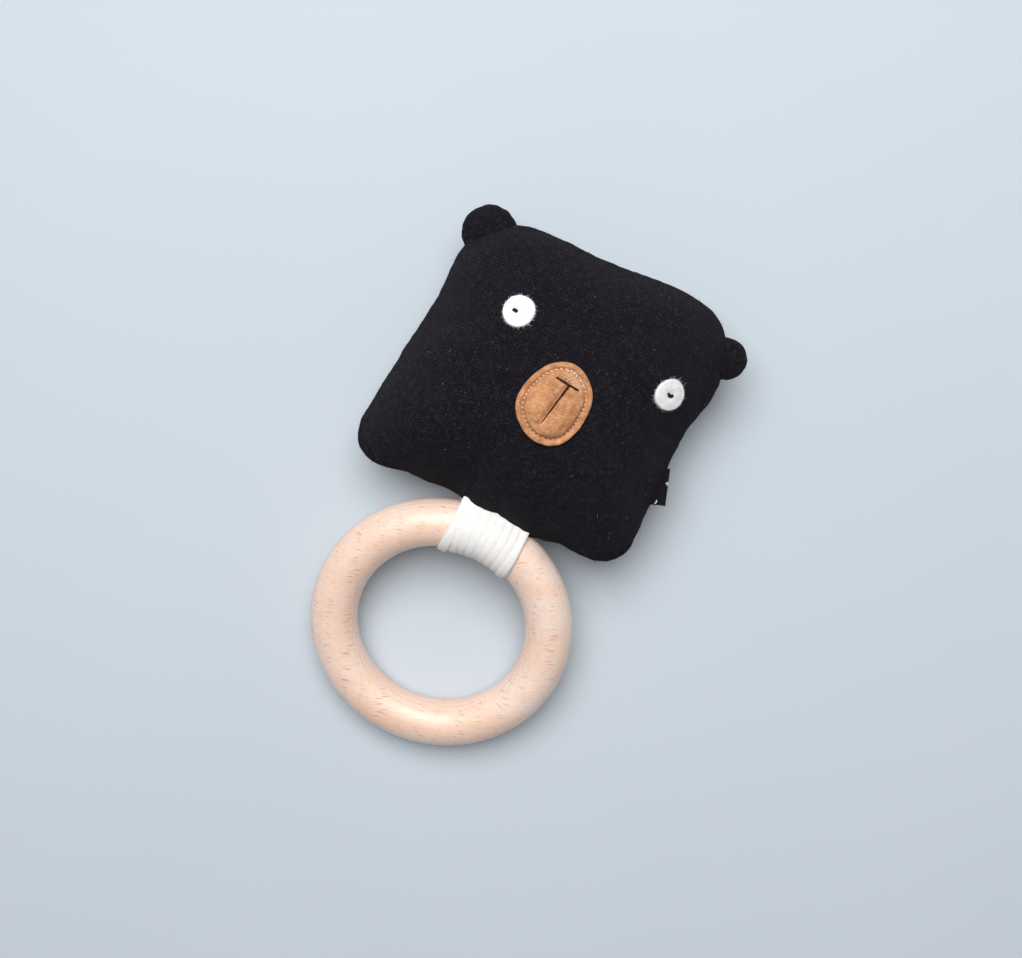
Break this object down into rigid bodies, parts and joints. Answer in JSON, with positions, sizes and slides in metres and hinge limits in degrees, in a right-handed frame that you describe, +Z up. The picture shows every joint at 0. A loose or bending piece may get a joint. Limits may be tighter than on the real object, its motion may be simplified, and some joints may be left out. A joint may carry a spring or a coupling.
{
  "type": "baby rattle",
  "caption": "Soft stuffed animal-face cushion with a sealed rattle inside and a wooden teething ring lashed to its bottom seam with cotton cord.",
  "frame": {"origin": "centre of the flat patch on the cushion's back that the toy rests on", "axes": "+Z up out of the face, +Y from the ring to the ears, +X to the right as the face is looked at"},
  "size_m": [0.081, 0.1404, 0.0398],
  "materials": {
    "knit_black": "fine knitted jersey, matt with a soft nap",
    "felt_white": "white wool felt",
    "felt_caramel": "caramel felt with a suede nap",
    "thread_cream": "cream sewing thread",
    "thread_black": "black thread",
    "thread_white": "white sewing thread",
    "label_ribbon": "black woven ribbon",
    "cord_natural": "natural cotton cord",
    "beech": "sanded and waxed beech",
    "fibre": "loose polyester fibre filling",
    "capsule_plastic": "moulded polypropylene",
    "shot_steel": "small steel balls"
  },
  "bodies": {
    "head": {"front_panel": "knit_black", "back_panel": "knit_black", "seam_stitches": "thread_black", "filling_front": "fibre", "filling_back": "fibre", "capsule_base": "capsule_plastic", "capsule_cap": "capsule_plastic", "left_eye": "felt_white", "right_eye": "felt_white", "left_pupil": "thread_black", "right_pupil": "thread_black", "snout": "felt_caramel", "snout_stitches": "thread_cream", "nose_stitch": "thread_black", "mouth_stitch": "thread_black"},
    "binding": {"lashing_cord": "cord_natural"},
    "ring": {"teething_ring": "beech"},
    "left_ear": {"left_ear_front": "knit_black", "left_ear_back": "knit_black", "left_ear_padding": "fibre"},
    "right_ear": {"right_ear_front": "knit_black", "right_ear_back": "knit_black", "right_ear_padding": "fibre"},
    "label": {"side_label": "label_ribbon", "label_tacks": "thread_white"},
    "ball_1": {"shot_1": "shot_steel"},
    "ball_2": {"shot_2": "shot_steel"},
    "ball_3": {"shot_3": "shot_steel"},
    "ball_4": {"shot_4": "shot_steel"},
    "ball_5": {"shot_5": "shot_steel"},
    "ball_6": {"shot_6": "shot_steel"},
    "ball_7": {"shot_7": "shot_steel"}
  },
  "joints": [
    {"name": "ring_fold", "type": "hinge", "parent": "head", "child": "binding", "pos_m": [0.0029, -0.03385, 0.0205], "axis": [-1, 0, 0], "range_deg": [-30, 45]},
    {"name": "ring_slip", "type": "hinge", "parent": "binding", "child": "ring", "pos_m": [0.0036, -0.0698, 0.01227], "axis": [0, -0.2079, 0.9781], "continuous": true},
    {"name": "left_ear_fold", "type": "hinge", "parent": "head", "child": "left_ear", "pos_m": [0.0379, 0.0262, 0.0205], "axis": [0.3584, -0.9336, 0], "range_deg": [-20, 20], "stiffness_Nm_per_rad": 0.0008},
    {"name": "right_ear_fold", "type": "hinge", "parent": "head", "child": "right_ear", "pos_m": [-0.0307, 0.0272, 0.0205], "axis": [0.6691, 0.7431, 0], "range_deg": [-20, 20], "stiffness_Nm_per_rad": 0.0008},
    {"name": "label_flap", "type": "hinge", "parent": "head", "child": "label", "pos_m": [0.0372, -0.01, 0.0205], "axis": [0, -1, 0], "range_deg": [-35, 35], "stiffness_Nm_per_rad": 0.0002},
    {"name": "ball_1_hop", "type": "slide", "parent": "head", "child": "ball_1", "axis": [0, 0, 1], "range_m": [0, 0.008]},
    {"name": "ball_2_hop", "type": "slide", "parent": "head", "child": "ball_2", "axis": [0, 0, 1], "range_m": [0, 0.008]},
    {"name": "ball_3_hop", "type": "slide", "parent": "head", "child": "ball_3", "axis": [0, 0, 1], "range_m": [0, 0.008]},
    {"name": "ball_4_hop", "type": "slide", "parent": "head", "child": "ball_4", "axis": [0, 0, 1], "range_m": [0, 0.008]},
    {"name": "ball_5_hop", "type": "slide", "parent": "head", "child": "ball_5", "axis": [0, 0, 1], "range_m": [0, 0.008]},
    {"name": "ball_6_hop", "type": "slide", "parent": "head", "child": "ball_6", "axis": [0, 0, 1], "range_m": [0, 0.008]},
    {"name": "ball_7_hop", "type": "slide", "parent": "head", "child": "ball_7", "axis": [0, 0, 1], "range_m": [0, 0.008]}
  ]
}
